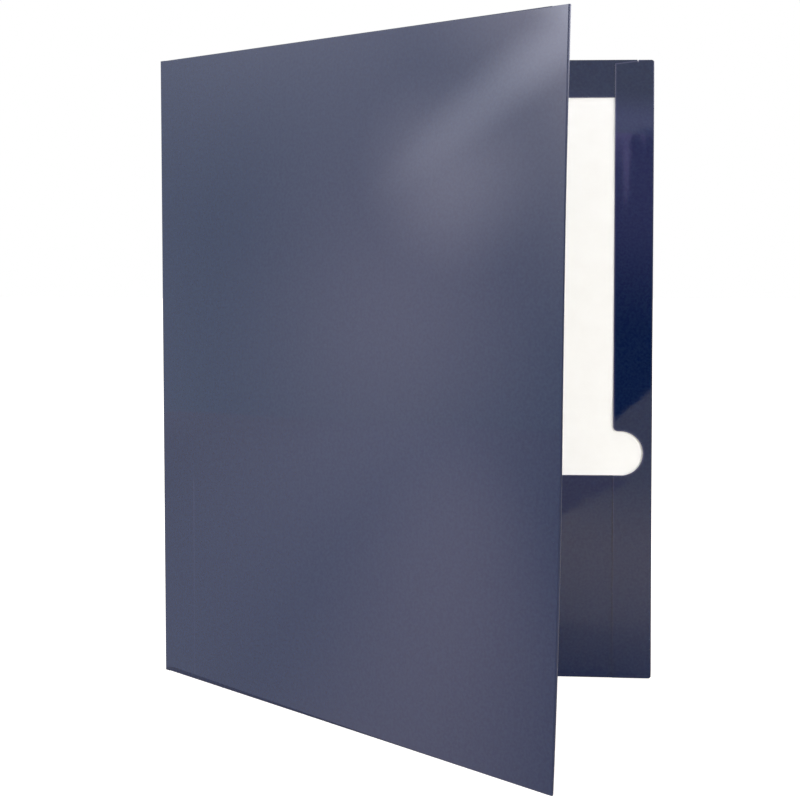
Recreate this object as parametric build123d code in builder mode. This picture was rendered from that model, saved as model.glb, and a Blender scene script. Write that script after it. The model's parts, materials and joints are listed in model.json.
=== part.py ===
# Folder of laminated paperboard for letter paper: two covers on a narrow spine, with a glued pocket in each.
#
# The covers stand upright and half open. Each one is laid out in its leaf frame: u runs from the spine
# crease to the free edge, v runs up, and lift is the height above the cover's inside face. The back leaf
# is drawn, and the front leaf is its mirror image across the plane that halves the opening, apart from the
# V notch, which only the back leaf has.
import os
from math import cos, radians, sin

from build123d import *

# Board
board = 0.4
glue = 0.1
crease_gap = 0.1

# Covers
panel_width = 241.3
panel_height = 304.8
opening_angle = 38.5
closing_gap = 0.4

# Top hem
top_hem_width = 18.5
hem_spine_gap = 3.0
notch_offset = 8.0
notch_width = 1.2
notch_depth = 1.3

# Side hem
side_hem_width = 19.05
climb_length = 8.0
end_taper = 1.9
end_step = 0.6

# Relief cut in the side hem at the pocket's mouth
relief_radius = 10.95
relief_inset = 3.7
relief_corner_radius = 2.4

# Pocket
pocket_height = 100.4
pocket_spine_gap = 3.0
tab_width = 19.8
fold_gap = 0.2
swing_gap = 0.2
pocket_swing_share = 0.06

# Glue lines
glue_margin = 3.0

# Levels of the layers above the cover's inside face
first_layer = glue
hem_over_hem = first_layer + board + glue
pocket_level = first_layer + board + fold_gap
hem_over_pocket = pocket_level + board + glue
stack_height = hem_over_pocket + board

# Places across the leaf
tab_end = pocket_spine_gap + tab_width
side_wall = panel_width - board
hem_edge = panel_width - side_hem_width
notch_place = panel_width - notch_offset
top_hem_end = notch_place - notch_width / 2

# Places up the leaf
top_wall = panel_height - board
top_hem_edge = panel_height - top_hem_width
relief_top = pocket_height + 2 * relief_radius
relief_shoulder = relief_top + relief_corner_radius
climb_start = top_hem_edge - climb_length

# Spine strip and the opening at rest: the strip is as wide as the closed layers need
spine_width = 2 * stack_height + closing_gap
half_opening = radians(opening_angle / 2)
across_spine = Vector(-sin(half_opening), -cos(half_opening))
into_folder = Vector(cos(half_opening), -sin(half_opening))

# Footprint of the standing folder, from the back crease
left_reach = (across_spine * (spine_width - crease_gap) - into_folder * board).X
front_reach = (
    across_spine.Y * spine_width
    - panel_width * sin(2 * half_opening)
    - board * cos(2 * half_opening)
)

# The origin is on the floor, in the middle of the footprint's box
back_crease = Vector(-(panel_width + left_reach) / 2, -(board + front_reach) / 2)
front_crease = back_crease + across_spine * spine_width
leaf = Plane(origin=back_crease, x_dir=(1, 0, 0), z_dir=(0, -1, 0))
spine_face = Plane(origin=front_crease, x_dir=-across_spine, z_dir=into_folder)
mirror_plane = Plane(
    origin=(back_crease + front_crease) / 2, x_dir=(0, 0, 1), z_dir=across_spine
)

# The pocket stands a little open at rest, turned on its bottom fold
pocket_rest = radians(pocket_swing_share * opening_angle / 2)
pocket_pivot = leaf.from_local_coords((0, board + swing_gap, pocket_level + board / 2))
pocket_face = Plane(
    origin=pocket_pivot, x_dir=(1, 0, 0), z_dir=(0, -cos(pocket_rest), -sin(pocket_rest))
)


def layer(u_from, u_to, v_from, v_to, low, high):
    """Adds a flat layer of the back leaf between two lifts to the part that is being built."""
    with BuildSketch(leaf.offset(low)) as outline:
        with Locations(((u_from + u_to) / 2, (v_from + v_to) / 2)):
            Rectangle(u_to - u_from, v_to - v_from)
    extrude(outline.sketch, amount=high - low)


def cover_panel(corner):
    """Builds a cover whose edges stop short of the folds that wrap round them.

    The outline of its top outer corner runs through the given points.
    """
    with BuildPart() as panel:
        with BuildSketch(leaf.offset(-board)):
            with BuildLine():
                Polyline(
                    (crease_gap, 0),
                    (pocket_spine_gap, 0),
                    (pocket_spine_gap, board),
                    (side_wall, board),
                    *corner,
                    (top_hem_end, top_wall),
                    (hem_spine_gap, top_wall),
                    (hem_spine_gap, panel_height),
                    (crease_gap, panel_height),
                    close=True,
                )
            make_face()
        extrude(amount=board)
    return panel


# Covers: the back one has the V notch in its top edge
notch = [(notch_place + notch_width / 2, panel_height), (notch_place, panel_height - notch_depth)]
cover = cover_panel([(side_wall, panel_height), *notch])
plain_cover = cover_panel([(side_wall, panel_height), (top_hem_end, panel_height)])

# Top hem: a strip folded down onto the cover, with its fold over the cover's top edge
with BuildPart() as top_hem:
    layer(hem_spine_gap, top_hem_end, top_hem_edge, panel_height, first_layer, first_layer + board)
    layer(hem_spine_gap, top_hem_end, top_wall, panel_height, -board, first_layer + board)

# Side hem: it lies on the cover, climbs over the top hem and over the pocket's end, and folds round the edge
hem_run = [
    (0, hem_over_pocket),
    (pocket_height, hem_over_pocket),
    (relief_top, first_layer),
    (climb_start, first_layer),
    (top_hem_edge, hem_over_hem),
    (panel_height, hem_over_hem),
]
hem_top = [(height, lift + board) for height, lift in hem_run]
hem_section = Plane(
    origin=leaf.from_local_coords((hem_edge, 0, 0)), x_dir=(0, 0, 1), z_dir=(1, 0, 0)
)


def side_hem_strip(end):
    """Builds a side hem with its relief, whose slanting top end runs through the given points."""
    with BuildPart() as strip:
        with BuildSketch(hem_section):
            with BuildLine():
                Polyline(*hem_run, *reversed(hem_top), close=True)
            make_face()
        extrude(amount=side_hem_width)
        with BuildSketch(hem_section.offset(side_hem_width - board)):
            with BuildLine():
                Polyline((0, -board), (panel_height, -board), *reversed(hem_top), close=True)
            make_face()
        extrude(amount=board)
        with BuildSketch(leaf.offset(-board)):
            with BuildLine():
                Polyline(
                    (hem_edge, pocket_height),
                    (hem_edge, 0),
                    (panel_width, 0),
                    (panel_width, panel_height),
                    *end,
                    (hem_edge, panel_height - end_taper),
                    (hem_edge, relief_shoulder),
                )
                CenterArc((hem_edge + relief_corner_radius, relief_shoulder), relief_corner_radius, 180, 90)
                Line((hem_edge + relief_corner_radius, relief_top), (hem_edge + relief_inset, relief_top))
                CenterArc((hem_edge + relief_inset, pocket_height + relief_radius), relief_radius, 90, -180)
                Line((hem_edge + relief_inset, pocket_height), (hem_edge, pocket_height))
            make_face()
        extrude(amount=board + stack_height, mode=Mode.INTERSECT)
    return strip


side_hem = side_hem_strip([*notch, (top_hem_end, panel_height - end_step)])
plain_side_hem = side_hem_strip([(top_hem_end, panel_height - end_step)])

# Bottom fold that the pocket stands on
with BuildPart() as pocket_fold:
    layer(pocket_spine_gap, side_wall, 0, board, -board, pocket_level + board)

# Pocket's spine end: its tab is folded back behind it and glued to the cover
with BuildPart() as pocket_tab:
    layer(pocket_spine_gap, tab_end, board, pocket_height, first_layer, first_layer + board)
    layer(pocket_spine_gap, pocket_spine_gap + board, board, pocket_height, first_layer, pocket_level + board)
    layer(pocket_spine_gap, tab_end, board, pocket_height, pocket_level, pocket_level + board)

# Pocket's outer end, held under the side hem
with BuildPart() as pocket_end:
    layer(hem_edge, side_wall, board, pocket_height, pocket_level, pocket_level + board)

# Pocket between its two held ends, which bows open at the mouth
with BuildPart() as pocket:
    with BuildSketch(pocket_face.offset(-board / 2)):
        with Locations((tab_end + swing_gap, 0)):
            Rectangle(
                hem_edge - tab_end - 2 * swing_gap,
                pocket_height - board - swing_gap,
                align=(Align.MIN, Align.MIN),
            )
    extrude(amount=board)

# Glue lines
with BuildPart() as top_hem_glue:
    layer(
        hem_spine_gap + glue_margin,
        top_hem_end - glue_margin,
        top_hem_edge + glue_margin,
        top_wall - glue_margin,
        0,
        first_layer,
    )

with BuildPart() as side_hem_glue:
    layer(
        hem_edge + glue_margin,
        side_wall - glue_margin,
        relief_shoulder + glue_margin,
        climb_start - glue_margin,
        0,
        first_layer,
    )

with BuildPart() as corner_glue:
    layer(
        hem_edge + glue_margin,
        top_hem_end - glue_margin,
        top_hem_edge + glue_margin,
        panel_height - end_taper - glue_margin,
        first_layer + board,
        hem_over_hem,
    )

with BuildPart() as pocket_tab_glue:
    layer(
        pocket_spine_gap + glue_margin,
        tab_end - glue_margin,
        board + glue_margin,
        pocket_height - glue_margin,
        0,
        first_layer,
    )

with BuildPart() as pocket_end_glue:
    layer(
        hem_edge + glue_margin,
        side_wall - glue_margin,
        board + glue_margin,
        pocket_height - glue_margin,
        pocket_level + board,
        hem_over_pocket,
    )

# Spine strip between the two creases
with BuildPart() as spine:
    with BuildSketch(spine_face.offset(-board)):
        with Locations((crease_gap, 0)):
            Rectangle(spine_width - 2 * crease_gap, panel_height, align=(Align.MIN, Align.MIN))
    extrude(amount=board)

os.makedirs("parts", exist_ok=True)
spine.part.label = "spine"
export_step(spine.part, "parts/spine.step")

leaf_pieces = {
    "cover": cover,
    "top_hem": top_hem,
    "side_hem": side_hem,
    "pocket_fold": pocket_fold,
    "pocket_tab": pocket_tab,
    "pocket_end": pocket_end,
    "pocket": pocket,
    "top_hem_glue": top_hem_glue,
    "side_hem_glue": side_hem_glue,
    "corner_glue": corner_glue,
    "pocket_tab_glue": pocket_tab_glue,
    "pocket_end_glue": pocket_end_glue,
}
front_leaf_pieces = {**leaf_pieces, "cover": plain_cover, "side_hem": plain_side_hem}
for piece_name, back_piece in leaf_pieces.items():
    with BuildPart() as front_piece:
        mirror(front_leaf_pieces[piece_name].part, about=mirror_plane)
    for side, piece in (("back", back_piece), ("front", front_piece)):
        piece.part.label = f"{side}_{piece_name}"
        export_step(piece.part, f"parts/{side}_{piece_name}.step")
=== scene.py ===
"""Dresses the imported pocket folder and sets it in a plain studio.

The folder is one blank of paperboard, scored, folded and glued, with a navy gloss film on one face. Each
leaf is drawn flat in its own leaf frame: u runs from the crease to the free edge, v runs up, and lift is the
height above the cover's inside face. It is then set into the standing folder, with the slight twist that the
board has taken.
"""
import json
import logging
import math
from collections.abc import Callable, Iterable
from dataclasses import dataclass, field
from enum import Enum, IntEnum

import bmesh
import bpy
from bmesh.types import BMEdge, BMesh, BMVert
from bpy.types import Material, Mesh, NodeOutputs, NodeSocket, NodeTree, Object
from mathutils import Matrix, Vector
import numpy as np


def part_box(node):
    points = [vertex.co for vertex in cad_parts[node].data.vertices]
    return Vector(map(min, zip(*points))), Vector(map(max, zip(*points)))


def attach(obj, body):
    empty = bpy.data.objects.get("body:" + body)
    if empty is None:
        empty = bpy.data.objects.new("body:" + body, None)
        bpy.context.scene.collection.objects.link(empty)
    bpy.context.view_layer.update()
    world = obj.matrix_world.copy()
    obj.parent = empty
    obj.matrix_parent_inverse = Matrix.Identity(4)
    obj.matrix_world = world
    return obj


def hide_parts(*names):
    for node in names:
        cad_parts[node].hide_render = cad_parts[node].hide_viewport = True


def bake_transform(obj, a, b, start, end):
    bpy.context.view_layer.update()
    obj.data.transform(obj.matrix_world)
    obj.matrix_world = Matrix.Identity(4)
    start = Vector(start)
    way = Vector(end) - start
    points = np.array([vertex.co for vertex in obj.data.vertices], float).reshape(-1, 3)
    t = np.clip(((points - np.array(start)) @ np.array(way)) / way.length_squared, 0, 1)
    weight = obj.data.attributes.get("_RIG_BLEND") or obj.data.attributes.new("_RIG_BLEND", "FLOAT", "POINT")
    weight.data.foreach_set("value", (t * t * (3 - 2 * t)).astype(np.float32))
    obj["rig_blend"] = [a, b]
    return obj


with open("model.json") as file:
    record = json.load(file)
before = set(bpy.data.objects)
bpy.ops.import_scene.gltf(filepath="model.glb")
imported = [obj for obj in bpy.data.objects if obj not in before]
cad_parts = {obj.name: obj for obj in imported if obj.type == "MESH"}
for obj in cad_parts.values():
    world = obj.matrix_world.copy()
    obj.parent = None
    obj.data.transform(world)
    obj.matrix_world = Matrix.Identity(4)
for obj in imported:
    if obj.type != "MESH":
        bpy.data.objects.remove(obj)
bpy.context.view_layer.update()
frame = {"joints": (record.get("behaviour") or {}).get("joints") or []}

MM = 0.001
LOG = logging.getLogger("folder")
UP = Vector((0.0, 0.0, 1.0))
SHARP_ANGLE = math.radians(40.0)
Lift = Callable[[float, float], float]


class Side(Enum):
    """The two leaves, by the names that their nodes have."""

    BACK = "back"
    FRONT = "front"


class Facing(Enum):
    """The way that a sheet's film face looks: into the folder or out of it."""

    INWARD = "inward"
    OUTWARD = "outward"


class Face(IntEnum):
    """The faces of a board piece, by their material slots."""

    FILM = 0
    BARE = 1
    CUT = 2


class Way(Enum):
    """The way that a sheet runs into its bend, as a direction in the leaf frame."""

    TO_FREE_EDGE = (1.0, 0.0)
    TO_SPINE = (-1.0, 0.0)
    UP = (0.0, 1.0)
    DOWN = (0.0, -1.0)


def linear(colour: str) -> tuple[float, float, float, float]:
    """Turns a colour to the linear values that Blender's sockets take.

    Args:
        colour: An sRGB hex colour, such as "#112143".

    Returns:
        Linear red, green and blue, with an alpha of 1.
    """
    parts = [int(colour[place : place + 2], 16) / 255 for place in (1, 3, 5)]
    red, green, blue = (
        part / 12.92 if part <= 0.04045 else ((part + 0.055) / 1.055) ** 2.4 for part in parts
    )
    return red, green, blue, 1.0


def add_node(
    tree: NodeTree,
    kind: str,
    values: dict[str | int, object] | None = None,
    links: dict[str | int, NodeSocket] | None = None,
    **settings: object,
) -> NodeOutputs:
    """Adds a node with its settings and links.

    Args:
        tree: The node tree that gets the node.
        kind: The node's type, such as "ShaderNodeTexNoise".
        values: Constant values by input name or number.
        links: Sockets to join by input name or number.
        **settings: The node's own properties.

    Returns:
        The new node's outputs.
    """
    node = tree.nodes.new(kind)
    for name, value in settings.items():
        setattr(node, name, value)
    for key, value in (values or {}).items():
        node.inputs[key].default_value = value
    for key, socket in (links or {}).items():
        tree.links.new(socket, node.inputs[key])
    return node.outputs


def start_material(name: str) -> tuple[Material, NodeTree]:
    """Starts a material with no nodes in it.

    Args:
        name: The material's name.

    Returns:
        The material and its node tree.
    """
    made = bpy.data.materials.new(name)
    made.use_nodes = True
    made.node_tree.nodes.clear()
    return made, made.node_tree


def end_material(made: Material, shader: NodeSocket) -> Material:
    """Sets what a material shows and gives the material back."""
    add_node(made.node_tree, "ShaderNodeOutputMaterial", links={"Surface": shader})
    return made


def of_kind(items: Iterable[object], kind: type) -> list:
    """Picks the vertices or the edges out of what an operator made."""
    return [item for item in items if isinstance(item, kind)]


def smoothstep(value: float) -> float:
    """Eases a share from 0 to 1, with no slope at its ends."""
    share = min(max(value, 0.0), 1.0)
    return share * share * (3.0 - 2.0 * share)


def joint(name: str) -> dict:
    """Gives a joint of the frame by its name."""
    return next(item for item in frame["joints"] if item["name"] == name)


@dataclass(frozen=True)
class Grain:
    """A noise pattern in a surface.

    Attributes:
        size_mm: About how far apart it repeats, in millimetres.
        detail: How many finer layers it has.
        height_mm: How far it stands out, in millimetres.
    """

    size_mm: float
    detail: float
    height_mm: float = 0.0

    def noise(self) -> dict[str, float]:
        """Gives the inputs of its noise."""
        return {"Scale": 1.0 / (self.size_mm * MM), "Detail": self.detail}

    def bump(self) -> dict[str, float]:
        """Gives the inputs of its bump."""
        return {"Distance": self.height_mm * MM}


def mottled(
    tree: NodeTree, place: NodeSocket, grain: Grain, shade: str, light: str
) -> tuple[NodeSocket, NodeSocket]:
    """Runs between two colours by a noise pattern.

    Args:
        tree: The node tree of the finish.
        place: The place on the object.
        grain: The pattern.
        shade: The colour where the pattern is low.
        light: The colour where it is high.

    Returns:
        The pattern and the colour.
    """
    pattern = add_node(tree, "ShaderNodeTexNoise", grain.noise(), {"Vector": place})["Fac"]
    colours = {6: linear(shade), 7: linear(light)}
    return pattern, add_node(tree, "ShaderNodeMix", colours, {0: pattern}, data_type="RGBA")[2]


@dataclass(frozen=True)
class GlossFilm:
    """Navy ink under a clear polypropylene film, laminated to the board and scored with it.

    The film gives clear reflections that the board's fibres break up a little, and the ink shows as a deep
    navy where nothing bright is reflected. Along a fold the stretched film turns duller, and along a die-cut
    edge it is lifted and whitened in a hair-thin line, which also carries a painted highlight. Along the side
    hem's edge over the pocket, painted light in that line lifts the seam's shade.
    """

    name: str = "gloss_film_over_navy_ink"
    ink: str = "#08173E"
    deep_ink: str = "#06153B"
    fibre_ink: str = "#132343"
    fold_ink: str = "#0A1A3C"
    whitened_highlit_film: str = "#4C4D6A"
    ior: float = 1.5
    roughness: tuple[float, float] = (0.015, 0.03)
    fold_roughness: float = 0.3
    mottle: Grain = Grain(14.0, 4.0)
    fibre: Grain = Grain(1.2, 3.0, 0.0015)
    fibre_span: tuple[float, float] = (0.35, 0.65)
    peel: Grain = Grain(7.0, 2.0, 0.004)

    def material(self) -> Material:
        """Builds the film's material."""
        made, tree = start_material(self.name)
        place = add_node(tree, "ShaderNodeTexCoord")["Object"]
        fold = add_node(tree, "ShaderNodeAttribute", attribute_name="fold_wear")["Fac"]
        cut = add_node(tree, "ShaderNodeAttribute", attribute_name="cut_whitening_and_highlight")["Fac"]
        mottle, colour = mottled(tree, place, self.mottle, self.deep_ink, self.ink)
        fibre = add_node(tree, "ShaderNodeTexNoise", self.fibre.noise(), {"Vector": place})["Fac"]
        low, high = self.fibre_span
        speck = add_node(tree, "ShaderNodeMapRange", {"From Min": low, "From Max": high}, {"Value": fibre})[0]
        # The cut edges' line is whitening with a painted highlight, and over the pocket painted light on the
        # seam
        for over, share in ((self.fibre_ink, speck), (self.fold_ink, fold), (self.whitened_highlit_film, cut)):
            links = {0: share, 6: colour}
            colour = add_node(tree, "ShaderNodeMix", {7: linear(over)}, links, data_type="RGBA")[2]
        low, high = self.roughness
        gloss = add_node(tree, "ShaderNodeMapRange", {"To Min": low, "To Max": high}, {"Value": mottle})[0]
        dulled = add_node(tree, "ShaderNodeMix", {3: self.fold_roughness}, {0: fold, 2: gloss})[0]
        peel = add_node(tree, "ShaderNodeTexNoise", self.peel.noise(), {"Vector": place})["Fac"]
        wavy = add_node(tree, "ShaderNodeBump", self.peel.bump(), {"Height": peel})[0]
        rough = add_node(tree, "ShaderNodeBump", self.fibre.bump(), {"Height": fibre, "Normal": wavy})[0]
        links = {"Base Color": colour, "Roughness": dulled, "Normal": rough}
        return end_material(made, add_node(tree, "ShaderNodeBsdfPrincipled", {"IOR": self.ior}, links)[0])


@dataclass(frozen=True)
class BareBoard:
    """Uncoated white paperboard, as the inside faces show it.

    It is a soft, even white with a faint cloudiness where the fibres lie thicker, and no gloss.
    """

    name: str = "bare_white_board"
    fibre_light: str = "#FBFBF9"
    fibre_shade: str = "#F5F4F1"
    roughness: float = 0.82
    cloud: Grain = Grain(9.0, 5.0)
    fibre: Grain = Grain(1.3, 4.0, 0.012)

    def material(self) -> Material:
        """Builds the bare board's material."""
        made, tree = start_material(self.name)
        place = add_node(tree, "ShaderNodeTexCoord")["Object"]
        _, colour = mottled(tree, place, self.cloud, self.fibre_shade, self.fibre_light)
        fibre = add_node(tree, "ShaderNodeTexNoise", self.fibre.noise(), {"Vector": place})["Fac"]
        bump = add_node(tree, "ShaderNodeBump", self.fibre.bump(), {"Height": fibre})[0]
        values, links = {"Roughness": self.roughness}, {"Base Color": colour, "Normal": bump}
        return end_material(made, add_node(tree, "ShaderNodeBsdfPrincipled", values, links)[0])


@dataclass(frozen=True)
class CutEdge:
    """The die-cut edge of the board, where its grey-white core shows between the faces.

    It is dull and slightly fuzzy, a little darker than the bare face, with the layers of fibre in it.
    """

    name: str = "die_cut_board_edge"
    core: str = "#D2D2D6"
    layer: str = "#B9BAC2"
    roughness: float = 0.9
    layers: Grain = Grain(0.8, 3.0)

    def material(self) -> Material:
        """Builds the cut edge's material."""
        made, tree = start_material(self.name)
        place = add_node(tree, "ShaderNodeTexCoord")["Object"]
        _, colour = mottled(tree, place, self.layers, self.layer, self.core)
        values, links = {"Roughness": self.roughness}, {"Base Color": colour}
        return end_material(made, add_node(tree, "ShaderNodeBsdfPrincipled", values, links)[0])


@dataclass(frozen=True)
class DriedGlue:
    """A thin line of clear glue that has dried between two layers of board.

    It is a faintly yellow, satin skin with small ripples.
    """

    name: str = "dried_clear_glue"
    clear: str = "#E9E3CF"
    thick: str = "#DCD3B6"
    roughness: tuple[float, float] = (0.35, 0.5)
    ripple: Grain = Grain(3.0, 2.0, 0.02)

    def material(self) -> Material:
        """Builds the glue's material."""
        made, tree = start_material(self.name)
        place = add_node(tree, "ShaderNodeTexCoord")["Object"]
        ripple, colour = mottled(tree, place, self.ripple, self.thick, self.clear)
        low, high = self.roughness
        satin = add_node(tree, "ShaderNodeMapRange", {"To Min": low, "To Max": high}, {"Value": ripple})[0]
        bump = add_node(tree, "ShaderNodeBump", self.ripple.bump(), {"Height": ripple})[0]
        links = {"Base Color": colour, "Roughness": satin, "Normal": bump}
        return end_material(made, add_node(tree, "ShaderNodeBsdfPrincipled", links=links)[0])


@dataclass
class Finishes:
    """The materials of the folder, each built once.

    Attributes:
        board: Film, bare face and cut edge, in the order of a board piece's material slots.
        glue: The dried glue.
    """

    board: list[Material] = field(
        default_factory=lambda: [GlossFilm().material(), BareBoard().material(), CutEdge().material()]
    )
    glue: Material = field(default_factory=lambda: DriedGlue().material())


class Sheet:
    """A piece of board drawn flat, as the die cuts it.

    Its x is u, its y is v and its z is the rise above its film face.

    Attributes:
        worn_share: Share of a folded lap over which the fold's wear fades out.
        whitened: Width of the whitened line along a cut edge, which also carries a painted highlight.
        painted_seam_light_share: Painted light at the top of an edge over the pocket, lifting the seam's
            shade.
        facet: Turn of one facet of a drawn arc, in degrees.
        least_facets: The fewest facets that a drawn arc has.
        bend_steps: How many facets a bend has.
        near: How near to each other two places count as the same.
        cut_near: How near to a point a cut goes through it.
    """

    worn_share: float = 0.1
    whitened: float = 0.9 * MM
    painted_seam_light_share: float = 0.5
    facet: float = 7.5
    least_facets: int = 4
    bend_steps: int = 10
    near: float = 1e-6
    cut_near: float = 1e-7

    def __init__(self, u: float, v: float, rise: float = 0.0) -> None:
        """Starts the outline at a corner.

        Args:
            u: The corner's distance from the crease.
            v: The corner's height.
            rise: The corner's rise.
        """
        self.mesh = bmesh.new()
        # Both layers are added before either is used, because a new layer moves the others
        for name in ("fold_wear", "cut_whitening_and_highlight"):
            self.mesh.verts.layers.float.new(name)
        self.wear = self.mesh.verts.layers.float["fold_wear"]
        self.cut_whitening_and_highlight = self.mesh.verts.layers.float["cut_whitening_and_highlight"]
        self.start = self.mesh.verts.new((u, v, rise))
        self.tip = self.start
        self.depth = 0.0

    @classmethod
    def rectangle(cls, u_span: tuple[float, float], v_span: tuple[float, float]) -> "Sheet":
        """Draws a filled rectangle.

        Args:
            u_span: Where it starts and ends along u.
            v_span: Where it starts and ends along v.

        Returns:
            The sheet.
        """
        (left, right), (low, high) = u_span, v_span
        return cls(left, low).line(right, low).line(right, high).line(left, high).fill()

    def line(self, u: float, v: float, rise: float = 0.0) -> "Sheet":
        """Draws the outline on to a point, in a straight line.

        Args:
            u: The point's distance from the crease.
            v: The point's height.
            rise: The point's rise.

        Returns:
            The sheet, for the next stroke.
        """
        self.tip = bmesh.ops.extrude_vert_indiv(self.mesh, verts=[self.tip])["verts"][0]
        self.tip.co = (u, v, rise)
        return self

    def arc(self, u: float, v: float, degrees: float) -> "Sheet":
        """Draws the outline on round a centre.

        Args:
            u: The centre's distance from the crease.
            v: The centre's height.
            degrees: The turn, anticlockwise.

        Returns:
            The sheet, for the next stroke.
        """
        turned = bmesh.ops.spin(
            self.mesh,
            geom=[self.tip],
            cent=(u, v, 0.0),
            axis=UP,
            angle=math.radians(degrees),
            steps=max(self.least_facets, round(abs(degrees) / self.facet)),
        )
        self.tip = of_kind(turned["geom_last"], BMVert)[0]
        return self

    def fill(self) -> "Sheet":
        """Closes the outline and fills it, with its film face up."""
        bmesh.ops.contextual_create(self.mesh, geom=[self.tip, self.start])
        bmesh.ops.edgeloop_fill(self.mesh, edges=self.mesh.edges[:])
        self.mesh.normal_update()
        turned = [face for face in self.mesh.faces if face.normal.z < 0]
        bmesh.ops.reverse_faces(self.mesh, faces=turned)
        return self

    def whiten_and_highlight(self, way: Way, fold: float, above: float) -> "Sheet":
        """Marks the film along the cut edges of a filled sheet as whitened, with a painted highlight in the
        line.

        Args:
            way: The way that the sheet runs into its bend, whose edge isn't cut.
            fold: Where that bend starts, along that way's axis.
            above: The height above which the edges are fully whitened and highlit. Below it, down to the
                foot,
            painted light that lifts the seam's shade fades out.

        Returns:
            The sheet, for the next step.
        """
        axis = 0 if way.value[0] else 1
        for vert in self.mesh.verts:
            if abs(vert.co[axis] - fold) > self.near:
                # Above the height: whitening with a painted highlight; below it: painted light on the seam,
                # fading to the foot
                vert[self.cut_whitening_and_highlight] = 1.0 if vert.co.y > above else self.painted_seam_light_share * vert.co.y / above
        outline = set(self.mesh.verts)
        faces = self.mesh.faces[:]
        bmesh.ops.inset_region(self.mesh, faces=faces, thickness=self.whitened, use_boundary=True)
        for vert in set(self.mesh.verts) - outline:
            vert[self.cut_whitening_and_highlight] = 0.0
        return self

    def slice(self, u_lines: Iterable[float], v_lines: Iterable[float]) -> "Sheet":
        """Cuts the sheet's faces along lines, so that it can take the leaf's curves.

        Args:
            u_lines: Distances from the crease of the upright cuts.
            v_lines: Heights of the level cuts.

        Returns:
            The sheet, for the next step.
        """
        cuts = [((u, 0.0, 0.0), (1.0, 0.0, 0.0)) for u in u_lines]
        cuts += [((0.0, v, 0.0), (0.0, 1.0, 0.0)) for v in v_lines]
        for point, normal in cuts:
            bmesh.ops.bisect_plane(
                self.mesh,
                geom=[*self.mesh.verts, *self.mesh.edges, *self.mesh.faces],
                dist=self.cut_near,
                plane_co=point,
                plane_no=normal,
            )
        return self

    def bend(self, way: Way, place: float, reach: float, run: float) -> "Sheet":
        """Folds the sheet back under itself at one of its edges.

        Args:
            way: The way that the sheet runs into the bend.
            place: Where the bend starts, along that way's axis.
            reach: How far the bend stands out, which is also half its depth.
            run: How far the sheet goes on past the bend, going back.

        Returns:
            The sheet, for the next step.
        """
        du, dv = way.value
        out = Vector((du, dv, 0.0))
        axis = 0 if du else 1
        edges = [
            edge
            for edge in self.mesh.edges
            if edge.is_boundary and all(abs(vert.co[axis] - place) < self.near for vert in edge.verts)
        ]
        first = {vert for edge in edges for vert in edge.verts}
        before = set(self.mesh.verts)
        centre = Vector((0.0, 0.0, -reach))
        centre[axis] = place
        turned = bmesh.ops.spin(
            self.mesh, geom=edges, cent=centre, axis=UP.cross(out), angle=math.pi, steps=self.bend_steps
        )
        for vert in (set(self.mesh.verts) - before) | first:
            vert[self.wear] = 1.0
            vert[self.cut_whitening_and_highlight] = 0.0
        last = of_kind(turned["geom_last"], BMEdge)
        for share in (self.worn_share, 1.0 - self.worn_share):
            flat = bmesh.ops.extrude_edge_only(self.mesh, edges=last)["geom"]
            ends = set(of_kind(flat, BMVert))
            bmesh.ops.translate(self.mesh, verts=list(ends), vec=out * (-run * share))
            for vert in ends:
                vert[self.wear] = 0.0
            last = [edge for edge in of_kind(flat, BMEdge) if ends.issuperset(edge.verts)]
        self.depth = 2.0 * reach
        return self


@dataclass(frozen=True)
class LeafSizes:
    """Sizes of one leaf in metres, as its nodes have them. A face is the lift of a layer's film face."""

    width: float
    height: float
    board: float
    glue: float
    hem_edge: float
    top_hem_start: float
    top_hem_edge: float
    pocket_start: float
    pocket_end: float
    pocket_height: float
    tab_end: float
    hem_face: float
    hem_over_hem_face: float
    pocket_face: float
    pivot_height: float
    pocket_rest: float

    @classmethod
    def from_frame(cls) -> "LeafSizes":
        """Reads the sizes from the back leaf's nodes, which lie square to the frame."""
        crease = Vector(joint("back_crease")["pos_m"])
        low: dict[str, Vector] = {}
        high: dict[str, Vector] = {}
        nodes = ("cover", "top_hem", "side_hem", "pocket_tab", "pocket_end", "corner_glue", "top_hem_glue")
        for name in nodes:
            bottom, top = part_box(f"back_{name}")
            low[name] = Vector((bottom.x - crease.x, bottom.z, crease.y - top.y))
            high[name] = Vector((top.x - crease.x, top.z, crease.y - bottom.y))
        board = -low["cover"].z
        swing, fold = joint("back_pocket_swing"), joint("back_crease")
        share = swing["range_deg"][1] / fold["range_deg"][1]
        return cls(
            width=high["side_hem"].x,
            height=high["cover"].y,
            board=board,
            glue=high["top_hem_glue"].z,
            hem_edge=low["side_hem"].x,
            top_hem_start=low["top_hem"].x,
            top_hem_edge=low["top_hem"].y,
            pocket_start=low["pocket_tab"].x,
            pocket_end=high["pocket_end"].x,
            pocket_height=high["pocket_end"].y,
            tab_end=high["pocket_tab"].x,
            hem_face=high["top_hem"].z,
            hem_over_hem_face=high["corner_glue"].z + board,
            pocket_face=high["pocket_end"].z,
            pivot_height=swing["pos_m"][2],
            pocket_rest=math.radians(-fold["range_deg"][0] * share),
        )


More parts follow.
